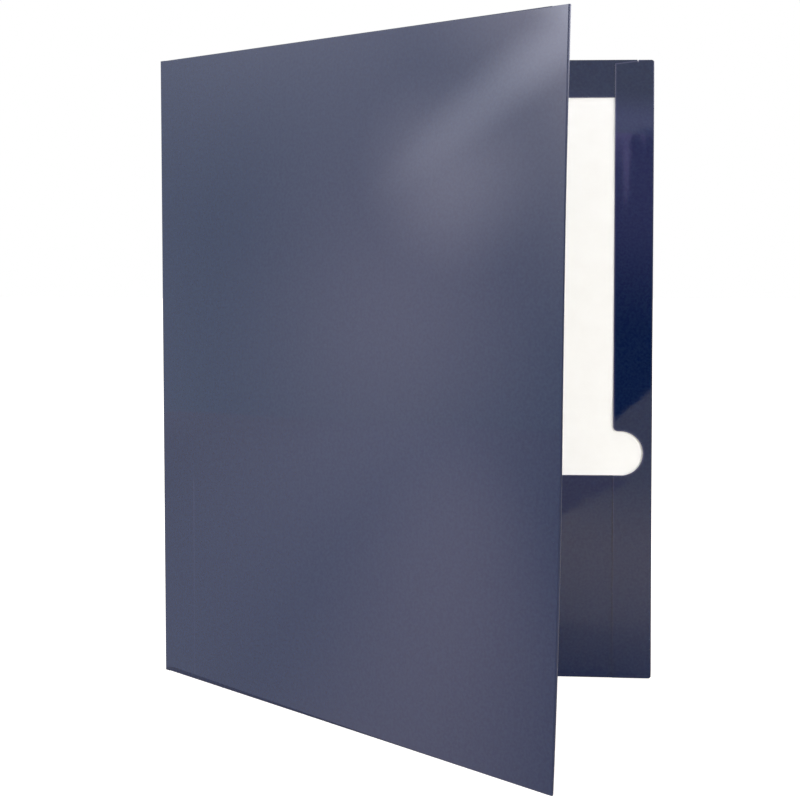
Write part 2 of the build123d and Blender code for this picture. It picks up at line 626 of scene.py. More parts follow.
@dataclass
class Leaf:
    """One cover with all that is folded from it, and the curve that its board has taken.

    Attributes:
        side: Which leaf it is.
        sizes: Its sizes.
        finishes: The folder's materials.
        corner_radius: Rounding of its two outer corners.
        bend: How far a hem's fold stands out past the flat run.
        twist: How far the free edge's ends stand out of the flat, one each way.
        bow: How far the free edge's middle stands out of the line between them.
        curl: How much more the free edge's ends turn than its middle.
        pocket_bend: The same as the bend for the pocket's bottom fold, which has more layers in it.
        lap: How far a folded piece goes on past its bend.
        crease_lap: How far the crease's skin goes on along the leaf.
        notch_offset: Distance of the V notch from the free edge.
        notch_width: Width of the notch at the top edge.
        notch_depth: Depth of the notch.
        ear_drop: How far the cut end of the top edge, past the top hem, stays below its folded part.
        foot_rise: How far the side hem's cut foot stays above the bottom fold.
        grid: Spacing of the cuts that let a sheet take the leaf's curve.
        edge_step: Spacing of the finer cuts along the outer edges.
        edge_cuts: How many of them an edge has.
        ridge_step: Spacing of the finer cuts at the end of the pocket's tab.
        ridge_cuts: How many of them lie on each side of it.
    """

    side: Side
    sizes: LeafSizes
    finishes: Finishes
    corner_radius: float
    bend: float
    twist: float = 4.35 * MM
    bow: float = 0.87 * MM
    curl: float = 1.8 * MM
    pocket_bend: float = 0.4 * MM
    lap: float = 2.0 * MM
    crease_lap: float = 1.5 * MM
    notch_offset: float = 8.0 * MM
    notch_width: float = 0.45 * MM
    notch_depth: float = 1.1 * MM
    ear_drop: float = 0.2 * MM
    foot_rise: float = 0.2 * MM
    grid: float = 6.0 * MM
    edge_step: float = 0.25 * MM
    edge_cuts: int = 5
    ridge_step: float = 0.3 * MM
    ridge_cuts: int = 3

    def __post_init__(self) -> None:
        """Reads the leaf's crease and directions from the frame."""
        self.crease = Vector(joint(f"{self.side.value}_crease")["pos_m"])
        self.crease.z = 0.0
        swing_axis = Vector(joint(f"{self.side.value}_pocket_swing")["axis"])
        self.sign = -1.0 if self.side is Side.BACK else 1.0
        self.along = swing_axis * -self.sign
        self.inward = UP.cross(self.along) * self.sign

    @property
    def body(self) -> str:
        """The CAD body that the leaf's pieces ride on."""
        return f"{self.side.value}_leaf"

    @property
    def ear_top(self) -> float:
        """Height of the cut end of the top edge, past the top hem."""
        return self.sizes.height - self.ear_drop

    @property
    def hem_end(self) -> float:
        """Where the top hem's fold ends, at the inner edge of the notch."""
        return self.sizes.width - self.notch_offset - self.notch_width / 2

    @property
    def lap_edge(self) -> float:
        """Where the side hem's lap ends on the outside of the cover."""
        return self.sizes.width - self.bend - self.lap

    @property
    def lap_top(self) -> float:
        """Height at which the bottom fold's lap ends."""
        return self.pocket_bend + self.lap

    @property
    def notch(self) -> list[tuple[float, float]]:
        """Points of the V notch in the top edge, from the free edge inwards, which only the back leaf has."""
        if self.side is Side.FRONT:
            return []
        middle = self.sizes.width - self.notch_offset
        return [(middle + self.notch_width / 2, self.ear_top), (middle, self.sizes.height - self.notch_depth)]

    def node(self, name: str) -> str:
        """Gives the name of one of the leaf's nodes or pieces."""
        return f"{self.side.value}_{name}"

    def warp(self, u: float, v: float) -> float:
        """Gives how far the board stands out of the flat at a place on the leaf."""
        level = 2.0 * v / self.sizes.height - 1.0
        edge = self.twist * level + self.bow * (1.0 - level**2) + self.curl * (level**3 - level)
        return max(u, 0.0) / self.sizes.width * edge

    def place(self, u: float, v: float, lift: float) -> Vector:
        """Sets a place on the leaf into the standing folder.

        Args:
            u: Distance from the crease.
            v: Height.
            lift: Height above the cover's inside face.

        Returns:
            The point in the frame.
        """
        across = u - (self.sizes.width - self.corner_radius)
        over = max(v - (self.sizes.height - self.corner_radius), self.corner_radius - v)
        if across > 0.0 and over > 0.0:
            share = max(across, over) / math.hypot(across, over)
            u += across * (share - 1.0)
            v += over * (share - 1.0) * (1.0 if v > self.sizes.height / 2 else -1.0)
        stand = lift + self.sign * self.warp(u, v)
        return self.crease + self.along * u + UP * v + self.inward * stand

    def grid_lines(self, length: float) -> list[float]:
        """Gives evenly spaced cuts along a length."""
        return [self.grid * place for place in range(1, int(length / self.grid) + 1)]

    def u_lines(self) -> list[float]:
        """Gives the upright cuts that the leaf's sheets share."""
        lines = self.grid_lines(self.sizes.width)
        lines += [self.sizes.width - self.edge_step * place for place in range(1, self.edge_cuts + 1)]
        ridge = range(-self.ridge_cuts, self.ridge_cuts + 1)
        return lines + [self.sizes.tab_end + self.ridge_step * place for place in ridge]

    def v_lines(self) -> list[float]:
        """Gives the level cuts that the leaf's sheets share."""
        lines = self.grid_lines(self.sizes.height)
        for place in range(1, self.edge_cuts + 1):
            lines += [self.edge_step * place, self.sizes.height - self.edge_step * place]
        return lines

    def cut(self, sheet: Sheet) -> Sheet:
        """Cuts a sheet along those lines."""
        return sheet.slice(self.u_lines(), self.v_lines())

    def form(
        self,
        sheet: Sheet,
        name: str,
        face: Lift,
        facing: Facing = Facing.INWARD,
        under: float | None = None,
    ) -> Object:
        """Sets a flat sheet into the standing folder as a piece of board.

        Args:
            sheet: The sheet, cut and bent.
            name: The piece's name.
            face: Lift of the sheet's film face by place on the leaf.
            facing: The way that the film looks.
            under: Lift of the film face past the sheet's bend.

        Returns:
            The piece, with its thickness and materials.
        """
        mesh = sheet.mesh
        layout = mesh.loops.layers.uv.new("leaf")
        for part in mesh.faces:
            for loop in part.loops:
                loop[layout].uv = loop.vert.co.xy
        for vert in mesh.verts:
            u, v, depth = vert.co
            lift = face(u, v)
            if sheet.depth and under is not None:
                lift += depth / sheet.depth * (lift - under)
            else:
                lift += depth
            vert.co = self.place(u, v, lift)
        if (self.side is Side.FRONT) != (facing is Facing.OUTWARD):
            bmesh.ops.reverse_faces(mesh, faces=mesh.faces[:])
        return board_piece(name, mesh, self.sizes.board, self.finishes.board)

    def settle(self, piece: Object, node: str, slot: str = "laminated_board") -> Object:
        """Says what a piece rides on and which node it replaces.

        Args:
            piece: The piece.
            node: The node's name, without the leaf's.
            slot: Not used.

        Returns:
            The piece.
        """
        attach(piece, self.body)
        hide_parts(self.node(node))
        return piece


def board_piece(name: str, mesh: BMesh, thickness: float, materials: list[Material]) -> Object:
    """Gives a film face its thickness of board and makes it an object.

    Args:
        name: The piece's name.
        mesh: The film face, with its normals outward.
        thickness: The board's thickness, which goes on behind the face.
        materials: Film, bare face and cut edge, or one material for all.

    Returns:
        The new object.
    """
    data = bpy.data.meshes.new(name)
    mesh.to_mesh(data)
    mesh.free()
    for material in materials:
        data.materials.append(material)
    piece = bpy.data.objects.new(name, data)
    bpy.context.scene.collection.objects.link(piece)
    wall = piece.modifiers.new("board", "SOLIDIFY")
    wall.thickness = thickness
    wall.offset = -1.0
    if len(materials) > 1:
        wall.material_offset = Face.BARE
        wall.material_offset_rim = Face.CUT
    graph = bpy.context.evaluated_depsgraph_get()
    piece.data = bpy.data.meshes.new_from_object(piece.evaluated_get(graph))
    piece.modifiers.clear()
    bpy.data.meshes.remove(data)
    piece.data.name = name
    piece.data.shade_smooth()
    piece.data.set_sharp_from_angle(angle=SHARP_ANGLE)
    return piece


@dataclass
class Cover:
    """The cover panel, film outside and bare board inside.

    Attributes:
        leaf: The leaf that it belongs to.
        ridge_height: How far the hidden tab's edge shows through on the outside.
        ridge_width: How wide that ridge is.
        ridge_fade: How far the raised part takes to fade out to the crease and to the bottom fold.
        ridge_end: How far it takes to end at the pocket's mouth.
        rubbed: How much the film is whitened along the ridge.
        rubbed_share: How much of the ridge's width to each side is rubbed.
    """

    leaf: Leaf
    ridge_height: float = 0.03 * MM
    ridge_width: float = 0.9 * MM
    ridge_fade: float = 8.0 * MM
    ridge_end: float = 2.0 * MM
    rubbed: float = 0.12
    rubbed_share: float = 0.4

    def face(self, u: float, v: float) -> float:
        """Gives the lift of the outside face, with the ridge of the pocket's hidden tab."""
        leaf, sizes = self.leaf, self.leaf.sizes
        across = smoothstep(0.5 - (u - sizes.tab_end) / self.ridge_width)
        across *= smoothstep((u - leaf.crease_lap) / self.ridge_fade)
        up = smoothstep((sizes.pocket_height - v) / self.ridge_end + 0.5)
        up *= smoothstep((v - leaf.pocket_bend - leaf.lap) / self.ridge_fade)
        return -sizes.board - self.ridge_height * across * up

    def build(self) -> list[Object]:
        """Builds the panel."""
        leaf, sizes = self.leaf, self.leaf.sizes
        top = sizes.height - leaf.bend - leaf.lap
        outline = Sheet(leaf.crease_lap, 0.0).line(sizes.pocket_start, 0.0)
        outline.line(sizes.pocket_start, leaf.lap_top)
        outline.line(leaf.lap_edge, leaf.lap_top).line(leaf.lap_edge, leaf.ear_top)
        for point in leaf.notch or [(leaf.hem_end, leaf.ear_top)]:
            outline.line(*point)
        outline.line(leaf.hem_end, sizes.height - leaf.bend)
        outline.line(leaf.hem_end, top).line(sizes.top_hem_start, top)
        outline.line(sizes.top_hem_start, sizes.height).line(leaf.crease_lap, sizes.height).fill()
        rubbed_width = self.rubbed_share * self.ridge_width
        for vert in leaf.cut(outline).mesh.verts:
            if vert.co.y < sizes.pocket_height and abs(vert.co.x - sizes.tab_end) < rubbed_width:
                vert[outline.cut_whitening_and_highlight] = self.rubbed
        piece = leaf.form(outline, leaf.node("cover_panel"), self.face, Facing.OUTWARD)
        return [leaf.settle(piece, "cover")]


@dataclass
class Hems:
    """The top hem and the side hem, folded in over the cover's edges.

    Attributes:
        leaf: The leaf that they belong to.
        climb_to_hem: How far the side hem takes to climb onto the top hem.
        climb_to_pocket: How far it takes to climb onto the pocket's end.
        end_step: How far below the top edge its slanting top end starts.
        end_taper: How far below the top edge that end meets its inner edge.
        relief_radius: Radius of the round cut at the pocket's mouth.
        relief_inset: How far that cut's centre lies in from the hem's edge.
        relief_corner: Rounding of the corner above the cut.
        mouth_margin: How far above and below the pocket's mouth the edge's painted light changes.
    """

    leaf: Leaf
    climb_to_hem: float = 60.0 * MM
    climb_to_pocket: float = 70.0 * MM
    end_step: float = 0.6 * MM
    end_taper: float = 1.9 * MM
    relief_radius: float = 10.95 * MM
    relief_inset: float = 3.7 * MM
    relief_corner: float = 2.4 * MM
    mouth_margin: float = 1.0 * MM

    def side_face(self, u: float, v: float) -> float:
        """Gives the lift of the side hem's film face.

        It climbs onto the top hem and over the pocket's end.
        """
        sizes = self.leaf.sizes
        onto_hem = smoothstep(1.0 - (sizes.top_hem_edge - v) / self.climb_to_hem)
        onto_pocket = smoothstep(1.0 - (v - sizes.pocket_height) / self.climb_to_pocket)
        return sizes.hem_face + (onto_hem + onto_pocket) * (sizes.hem_over_hem_face - sizes.hem_face)

    def top_face(self, u: float, v: float) -> float:
        """Gives the lift of the top hem's film face."""
        return self.leaf.sizes.hem_face

    def build(self) -> list[Object]:
        """Builds both hems."""
        return [self.build_top(), self.build_side()]

    def build_top(self) -> Object:
        """Builds the hem along the top edge."""
        leaf, sizes = self.leaf, self.leaf.sizes
        start = sizes.height - leaf.bend
        sheet = Sheet.rectangle((sizes.top_hem_start, leaf.hem_end), (sizes.top_hem_edge, start))
        # The top hem's cut edges are whitened all along, with a painted highlight in the line
        sheet.whiten_and_highlight(Way.UP, start, 0.0)
        leaf.cut(sheet).bend(Way.UP, start, leaf.bend, leaf.lap)
        piece = leaf.form(sheet, leaf.node("top_hem_strip"), self.top_face, under=-sizes.board)
        return leaf.settle(piece, "top_hem")

    def build_side(self) -> Object:
        """Builds the hem along the free edge, with its relief at the pocket's mouth."""
        leaf, sizes = self.leaf, self.leaf.sizes
        start, edge, mouth = sizes.width - leaf.bend, sizes.hem_edge, sizes.pocket_height
        centre = edge + self.relief_inset
        crown = mouth + 2.0 * self.relief_radius
        sheet = Sheet(edge, leaf.foot_rise).line(start, leaf.foot_rise).line(start, leaf.ear_top)
        for point in [*leaf.notch, (leaf.hem_end, sizes.height - self.end_step)]:
            sheet.line(*point)
        sheet.line(edge, sizes.height - self.end_taper).line(edge, crown + self.relief_corner)
        sheet.arc(edge + self.relief_corner, crown + self.relief_corner, 90.0).line(centre, crown)
        sheet.arc(centre, mouth + self.relief_radius, -180.0).line(edge, mouth).fill()
        # Above the mouth the edge is whitened with a painted highlight; below it painted light fades out
        # along the seam
        sheet.whiten_and_highlight(Way.TO_FREE_EDGE, start, mouth + self.mouth_margin)
        leaf.cut(sheet).bend(Way.TO_FREE_EDGE, start, leaf.bend, leaf.lap)
        piece = leaf.form(sheet, leaf.node("side_hem_strip"), self.side_face, under=-sizes.board)
        # Over the pocket the cut rim takes the film and its painted light, so that the seam is painted as
        # bright as the reflection beside it
        for part in piece.data.polygons:
            if part.material_index == Face.CUT and part.center.z < mouth - self.mouth_margin:
                part.material_index = Face.FILM
        return leaf.settle(piece, "side_hem")


@dataclass
class Pocket:
    """The pocket, folded up from the bottom edge, with its glued tab and its bowing front.

    Attributes:
        leaf: The leaf that it belongs to.
    """

    leaf: Leaf

    @property
    def start(self) -> float:
        """Where the fold at the spine end turns back."""
        return self.leaf.sizes.pocket_start + self.leaf.bend

    @property
    def middle(self) -> float:
        """The middle of the free front, where it bows most."""
        return (self.leaf.sizes.tab_end + self.leaf.sizes.hem_edge) / 2.0

    def face(self, u: float, v: float) -> float:
        """Gives the lift of the pocket's film face.

        It stands a little open at the mouth, and its outer end is pressed flat on the cover by the side hem.
        """
        sizes = self.leaf.sizes
        reach = self.middle - sizes.tab_end
        bow = smoothstep(1.0 - abs(u - self.middle) / reach)
        pressed = smoothstep((u - self.middle) / reach)
        level = sizes.pocket_face + pressed * (sizes.hem_face - sizes.pocket_face)
        return level + bow * max(v - sizes.pivot_height, 0.0) * math.tan(sizes.pocket_rest)

    def build(self) -> list[Object]:
        """Builds the bottom fold, the tab and the two halves of the front."""
        return [self.build_fold(), self.build_tab(), *self.build_front()]

    def build_fold(self) -> Object:
        """Builds the bottom fold that the pocket stands on."""
        leaf, sizes = self.leaf, self.leaf.sizes
        sheet = Sheet.rectangle((sizes.pocket_start, leaf.lap_edge), (leaf.pocket_bend, leaf.lap_top))
        leaf.cut(sheet).bend(Way.DOWN, leaf.pocket_bend, leaf.pocket_bend, leaf.lap)
        piece = leaf.form(sheet, leaf.node("pocket_bottom"), self.face, under=-sizes.board)
        return leaf.settle(piece, "pocket_fold")

    def build_tab(self) -> Object:
        """Builds the fold at the pocket's spine end and the tab that is glued behind it."""
        leaf, sizes = self.leaf, self.leaf.sizes
        sheet = Sheet.rectangle((self.start, self.start + leaf.lap), (leaf.lap_top, sizes.pocket_height))
        leaf.cut(sheet).bend(Way.TO_SPINE, self.start, leaf.bend, sizes.tab_end - self.start)
        piece = leaf.form(sheet, leaf.node("pocket_glue_tab"), self.face, under=sizes.glue)
        return leaf.settle(piece, "pocket_tab")

    def build_front(self) -> list[Object]:
        """Builds the front in two halves, each held at its outer end and free in the middle."""
        leaf, sizes = self.leaf, self.leaf.sizes
        halves = [
            ("pocket_spine_half", "pocket", (self.start + leaf.lap, self.middle), sizes.tab_end),
            ("pocket_free_half", "pocket_end", (self.middle, sizes.pocket_end), sizes.hem_edge),
        ]
        pieces = []
        for name, node, span, held in halves:
            sheet = leaf.cut(Sheet.rectangle(span, (leaf.lap_top, sizes.pocket_height)))
            piece = leaf.form(sheet, leaf.node(name), self.face)
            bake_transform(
                piece,
                leaf.body,
                leaf.node("pocket"),
                start=leaf.place(held, 0.0, sizes.pocket_face),
                end=leaf.place(self.middle, 0.0, sizes.pocket_face),
            )
            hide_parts(leaf.node(node))
            pieces.append(piece)
        return pieces


@dataclass
class GlueLines:
    """The five lines of glue that hold a leaf's layers together.

    Attributes:
        leaf: The leaf that they belong to.
        names: The nodes that they stand for.
        pressed: The line on the pocket's outer end, which the side hem presses down on the cover.
    """

    leaf: Leaf
    names: tuple[str, ...] = (
        "top_hem_glue",
        "side_hem_glue",
        "corner_glue",
        "pocket_tab_glue",
        "pocket_end_glue",
    )
    pressed: str = "pocket_end_glue"

    @property
    def pressed_lift(self) -> float:
        """Lift of the top of the line on the pocket's pressed end."""
        return self.leaf.sizes.hem_face + self.leaf.sizes.glue

    def build(self) -> list[Object]:
        """Builds each line where its node lies, with the leaf's curve."""
        leaf = self.leaf
        crease = Vector(joint("back_crease")["pos_m"])
        pieces = []
        for name in self.names:
            low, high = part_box(f"back_{name}")
            top = self.pressed_lift if name == self.pressed else crease.y - low.y
            sheet = Sheet.rectangle((low.x - crease.x, high.x - crease.x), (low.z, high.z))
            for vert in leaf.cut(sheet).mesh.verts:
                vert.co = leaf.place(vert.co.x, vert.co.y, top)
            if leaf.side is Side.FRONT:
                bmesh.ops.reverse_faces(sheet.mesh, faces=sheet.mesh.faces[:])
            piece = board_piece(leaf.node(f"{name}_line"), sheet.mesh, leaf.sizes.glue, [leaf.finishes.glue])
            pieces.append(leaf.settle(piece, name, "dried_glue"))
        return pieces


@dataclass
class Spine:
    """The narrow strip between the two creases, in two halves that each bend round one crease.

    Attributes:
        leaves: The leaves on its two sides.
        arc_steps: How many facets a crease has.
        corner_size: How near to each other the points of a crease's inner corner are joined.
    """

    leaves: list[Leaf]
    arc_steps: int = 8
    corner_size: float = 0.02 * MM

    def build(self) -> list[Object]:
        """Builds both halves."""
        return [self.build_half(leaf) for leaf in self.leaves]

    def close_corner(self, data: Mesh) -> None:
        """Joins the points of the inside face that meet in a crease's inner corner."""
        mesh = bmesh.new()
        mesh.from_mesh(data)
        bmesh.ops.remove_doubles(mesh, verts=mesh.verts[:], dist=self.corner_size)
        mesh.to_mesh(data)
        mesh.free()

    def build_half(self, leaf: Leaf) -> Object:
        """Builds the half that bends round one leaf's crease.

        Args:
            leaf: The leaf on that side.

        Returns:
            The piece.
        """
        sizes = leaf.sizes
        half_width = (self.leaves[0].crease - self.leaves[1].crease).length / 2.0
        bend = math.radians(joint(f"{leaf.side.value}_crease")["range_deg"][1])
        sheet = Sheet(leaf.crease_lap, 0.0, -sizes.board)
        mesh = sheet.mesh
        for share in (Sheet.worn_share, 0.0):
            sheet.line(leaf.crease_lap * share, 0.0, -sizes.board)
        turned = bmesh.ops.spin(
            mesh,
            geom=[sheet.tip],
            cent=(0.0, 0.0, 0.0),
            axis=(0.0, 1.0, 0.0),
            angle=bend,
            steps=self.arc_steps,
        )
        sheet.tip = of_kind(turned["geom_last"], BMVert)[0]
        along = Vector((-math.cos(bend), 0.0, math.sin(bend)))
        arc_end = sheet.tip.co.copy()
        for share in (Sheet.worn_share, 1.0):
            sheet.line(*(arc_end + along * (half_width * share)))
        for vert in mesh.verts:
            vert[sheet.wear] = 1.0 if abs(vert.co.length - sizes.board) < Sheet.near else 0.0
        raised = bmesh.ops.extrude_edge_only(mesh, edges=mesh.edges[:])["geom"]
        upper = of_kind(raised, BMVert)
        bmesh.ops.translate(mesh, verts=upper, vec=(0.0, sizes.height, 0.0))
        sheet.slice([], leaf.v_lines())
        mesh.normal_update()
        if next(iter(mesh.faces)).normal.z > 0.0:
            bmesh.ops.reverse_faces(mesh, faces=mesh.faces[:])
        piece = leaf.form(sheet, f"spine_{leaf.side.value}_half", lambda u, v: 0.0)
        self.close_corner(piece.data)
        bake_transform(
            piece,
            leaf.body,
            "spine",
            start=leaf.place(0.0, 0.0, -sizes.board),
            end=leaf.place(arc_end.x, 0.0, arc_end.z),
        )
        if leaf.side is Side.BACK:
            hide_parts("spine")
        return piece


@dataclass(frozen=True)
class Glow:
    """A light of the studio.

    Attributes:
        strength: How bright it is, where 1 is white.
        colour: Its colour.
    """

    strength: float
    colour: str = "#FFFFFF"

    def values(self) -> tuple[float, ...]:
        """Gives the light's red, green and blue."""
        return tuple(self.strength * part for part in linear(self.colour)[:3])


@dataclass(frozen=True)
class Spot:
    """A soft patch of light on one of the studio's surfaces.

    Attributes:
        middle: Its middle.
        reach: How far it fades out along each axis, before it is turned.
        glow: The light that it adds in its middle.
        turn: Its turn about each axis, in degrees.
    """

    middle: tuple[float, float, float]
    reach: tuple[float, float, float]
    glow: Glow
    turn: tuple[float, float, float] = (0.0, 0.0, 0.0)

    def mapping(self) -> dict[str, object]:
        """Gives the inputs that lay the patch in its place."""
        turn = [math.radians(angle) for angle in self.turn]
        return {"Location": self.middle, "Rotation": turn, "Scale": self.reach}


@dataclass(frozen=True)
class Card:
    """A flat card that gives light.

    Attributes:
        name: Its name.
        corners: Its corners, in order.
        base: Its plain light.
        spots: The patches of light on it.
        lights: Whether it lights the folder too, and doesn't only show in reflections.
    """

    name: str
    corners: list[tuple[float, float, float]]
    base: Glow
    spots: list[Spot]
    lights: bool = False


@dataclass
class Studio:
    """The plain white studio: floor, cards that the film reflects, a lamp and the camera.

    Attributes:
        crease: Foot of the back crease, which the camera's place is counted from.
        camera_place: The camera's place from there.
        camera_turn: The camera's turn to the left and up, in degrees.
        focal_pixels: The camera's focal length in pixels of the image.
        centre_rise: How far above the image's middle the lens points, in pixels.
        image_size: Width of the image in pixels.
        sensor_width: Width of the camera's sensor in millimetres.
        near_clip: Distance from which the camera sees things.
        sky: Light of the world on the object, where 1 is white.
        floor_colour: The floor's colour.
        floor_size: Half the floor's side.
        floor_white: Light that the floor adds for the camera alone, so that it is white.
        floor_light: Light that the floor adds in reflections.
        floor_pools: Light on the floor, which the pocket mirrors, and the shade at the folder's foot.
        card_distance: Distance of the lit wall to the left and of the cards in front.
        card_rise: How far above the floor a card lies on it.
        lamp_size: Side of the square lamp.
        lamp_spread: How wide the lamp's light spreads, in degrees.
        lamp_energy: The lamp's power in watts.
        lamp_place: Where the lamp hangs.
        lamp_aim: The place that the lamp looks at.
    """

    crease: Vector
    camera_place: Vector = field(default_factory=lambda: Vector((0.15651, -0.68316, 0.20913)))
    camera_turn: tuple[float, float] = (3.331, -2.939)
    focal_pixels: float = 1379.36
    centre_rise: float = 74.0
    image_size: float = 800.0
    sensor_width: float = 36.0
    near_clip: float = 0.01
    sky: float = 0.82
    floor_colour: str = "#E0D9CF"
    floor_size: float = 6.0
    floor_white: float = 0.7
    floor_light: Glow = Glow(0.15)
    floor_pools: tuple[Spot, ...] = (
        Spot((0.13, -0.34, 0.0), (0.6, 0.5, 1.0), Glow(0.42, "#FFDABF")),
        Spot((0.1, 0.05, 0.0), (0.4, 0.3, 1.0), Glow(-0.15)),
    )
    card_distance: float = 1.3
    card_rise: float = 0.2 * MM
    lamp_size: float = 0.7
    lamp_spread: float = 45.0
    lamp_energy: float = 1.72
    lamp_place: tuple[float, float, float] = (1.05, -1.35, 0.4)
    lamp_aim: tuple[float, float, float] = (0.1, 0.05, -0.2)

    def build(self) -> None:
        """Builds the studio and sets the camera."""
        self.build_camera()
        self.build_world()
        self.build_lamp()
        self.build_floor()
        for card in [*self.left_cards(), *self.front_cards(), self.right_card()]:
            self.build_card(card)

    def build_camera(self) -> None:
        """Sets the camera where the photograph was taken from."""
        data = bpy.data.cameras.new("camera")
        data.sensor_fit = "HORIZONTAL"
        data.sensor_width = self.sensor_width
        data.lens = self.focal_pixels / self.image_size * self.sensor_width
        data.shift_y = -self.centre_rise / self.image_size
        data.clip_start = self.near_clip
        camera = bpy.data.objects.new("camera", data)
        bpy.context.scene.collection.objects.link(camera)
        camera.location = self.crease + self.camera_place
        turn, rise = self.camera_turn
        camera.rotation_euler = (math.radians(90.0 + rise), 0.0, math.radians(turn))
        bpy.context.scene.camera = camera

    def rays(self, tree: NodeTree) -> tuple[NodeSocket, NodeSocket]:
        """Tells what is seen from what only lights the object.

        Args:
            tree: The node tree of a surface of the studio.

        Returns:
            1 to the camera, and 1 in reflections and through clear things, both 0 to the light on things.
        """
        path = add_node(tree, "ShaderNodeLightPath")
        mirrors = {0: path["Is Glossy Ray"], 1: path["Is Transmission Ray"]}
        mirrored = add_node(tree, "ShaderNodeMath", links=mirrors, operation="MAXIMUM")
        return path["Is Camera Ray"], mirrored[0]

    def spotlit(self, tree: NodeTree, base: Glow, spots: Iterable[Spot]) -> NodeSocket:
        """Adds spots up to one light.

        Args:
            tree: The node tree of the surface that they fall on.
            base: The plain light between them.
            spots: The spots.

        Returns:
            The light's colour by place.
        """
        place = add_node(tree, "ShaderNodeTexCoord")["Object"]
        total = add_node(tree, "ShaderNodeVectorMath", {0: base.values()}, operation="ADD")[0]
        for spot in spots:
            laid = add_node(
                tree, "ShaderNodeMapping", spot.mapping(), {"Vector": place}, vector_type="TEXTURE"
            )[0]
            fade = add_node(tree, "ShaderNodeTexGradient", links={"Vector": laid}, gradient_type="SPHERICAL")
            share = add_node(
                tree, "ShaderNodeMapRange", links={"Value": fade["Fac"]}, interpolation_type="SMOOTHSTEP"
            )[0]
            glow = {0: spot.glow.values()}
            light = add_node(tree, "ShaderNodeVectorMath", glow, {"Scale": share}, operation="SCALE")[0]
            total = add_node(tree, "ShaderNodeVectorMath", links={0: total, 1: light}, operation="ADD")[0]
        return total

    def build_world(self) -> None:
        """Gives the world an even light, and white to the camera and to reflections."""
        world = bpy.data.worlds.new("white_studio")
        world.use_nodes = True
        bpy.context.scene.world = world
        tree = world.node_tree
        tree.nodes.clear()
        camera, mirrored = self.rays(tree)
        seen = add_node(tree, "ShaderNodeMath", links={0: camera, 1: mirrored}, operation="MAXIMUM")[0]
        level = add_node(tree, "ShaderNodeMix", {2: self.sky, 3: 1.0}, {0: seen})[0]
        light = add_node(tree, "ShaderNodeBackground", {"Color": linear("#FFFFFF")}, {"Strength": level})[0]
        add_node(tree, "ShaderNodeOutputWorld", links={"Surface": light})

    def build_lamp(self) -> None:
        """Hangs a large soft lamp to the right, which lights the inside."""
        data = bpy.data.lights.new("inside_softbox", "AREA")
        data.shape = "SQUARE"
        data.size = self.lamp_size
        data.spread = math.radians(self.lamp_spread)
        data.energy = self.lamp_energy
        lamp = bpy.data.objects.new("inside_softbox", data)
        bpy.context.scene.collection.objects.link(lamp)
        lamp.visible_glossy = False
        lamp.location = self.lamp_place
        aim = Vector(self.lamp_aim) - lamp.location
        lamp.rotation_euler = aim.to_track_quat("-Z", "Y").to_euler()

    def build_floor(self) -> None:
        """Lays the pale floor, which stays white to the camera and keeps the folder's shadow.

        In reflections it shows a painted pool of light and a painted shade at the folder's foot.
        """
        mesh = bmesh.new()
        bmesh.ops.create_grid(mesh, x_segments=4, y_segments=4, size=self.floor_size)
        made, tree = start_material("white_sweep_with_painted_pools")
        camera, mirrored = self.rays(tree)
        white = add_node(tree, "ShaderNodeMath", {1: self.floor_white}, {0: camera}, operation="MULTIPLY")[0]
        pools = self.spotlit(tree, self.floor_light, self.floor_pools)
        shader = add_node(tree, "ShaderNodeBsdfDiffuse", {"Color": linear(self.floor_colour)})[0]
        for links in ({"Strength": white}, {"Color": pools, "Strength": mirrored}):
            lit = add_node(tree, "ShaderNodeEmission", links=links)[0]
            shader = add_node(tree, "ShaderNodeAddShader", links={0: shader, 1: lit})[0]
        self.stage_piece("floor", mesh, end_material(made, shader))

    def left_cards(self) -> list[Card]:
        """Gives the lit wall that the front cover mirrors, and the card at its foot.

        The foot's near and far ends fade out to the floor.
        """
        x = -self.card_distance
        wall = Card(
            "left_wall_card",
            [(x, -1.8, 0.0), (x, 1.4, 0.0), (x, 1.4, 1.8), (x, -1.8, 1.8)],
            Glow(1.42, "#E8F2FF"),
            [
                Spot((x, -0.279, 0.176), (1.0, 0.297, 0.459), Glow(0.98, "#FFE9FC"), (15.0, 0.0, 0.0)),
                Spot((x, -0.349, 0.363), (1.0, 0.183, 0.15), Glow(1.55, "#F7F2FF"), (-76.0, 0.0, 0.0)),
                Spot((x, -0.593, 0.683), (1.0, 0.063, 0.552), Glow(3.15, "#E7ECFF"), (44.0, 0.0, 0.0)),
                Spot((x, -0.576, 0.746), (1.0, 0.328, 0.8), Glow(3.28, "#FFF5FF"), (-8.5, 0.0, 0.0)),
                Spot((x, -0.24, 0.876), (1.0, 0.492, 0.714), Glow(2.29, "#F3ECFF"), (30.0, 0.0, 0.0)),
                Spot((x, -0.53, 0.7), (1.0, 0.12, 0.1), Glow(4.0, "#EAF2FF")),
            ],
            lights=True,
        )
        corners = [(x, -0.705), (0.066, -0.364), (0.066, -0.08), (-0.125, 0.07), (-0.125, 0.3), (x, 0.3)]
        foot = Card(
            "left_floor_card",
            [(across, along, self.card_rise) for across, along in corners],
            Glow(0.12, "#80FFA0"),
            [
                Spot((-0.66, -0.13, 0.0), (3.93, 0.31, 1.0), Glow(0.89, "#E6E2FF"), (0.0, 0.0, 14.9)),
                Spot((-0.118, -0.077, 0.0), (1.18, 0.111, 1.0), Glow(0.79, "#FFE9F5"), (0.0, 0.0, 13.0)),
                Spot((-1.516, -0.1, 0.0), (2.25, 1.08, 1.0), Glow(1.39, "#F6EDFF"), (0.0, 0.0, 9.0)),
                Spot((-0.6, -0.53, 0.0), (40.0, 0.24, 1.0), Glow(0.58), (0.0, 0.0, 14.0)),
                Spot((-0.6, 0.3, 0.0), (40.0, 0.22, 1.0), Glow(0.36, "#FFEEDD")),
            ],
        )
        return [wall, foot]

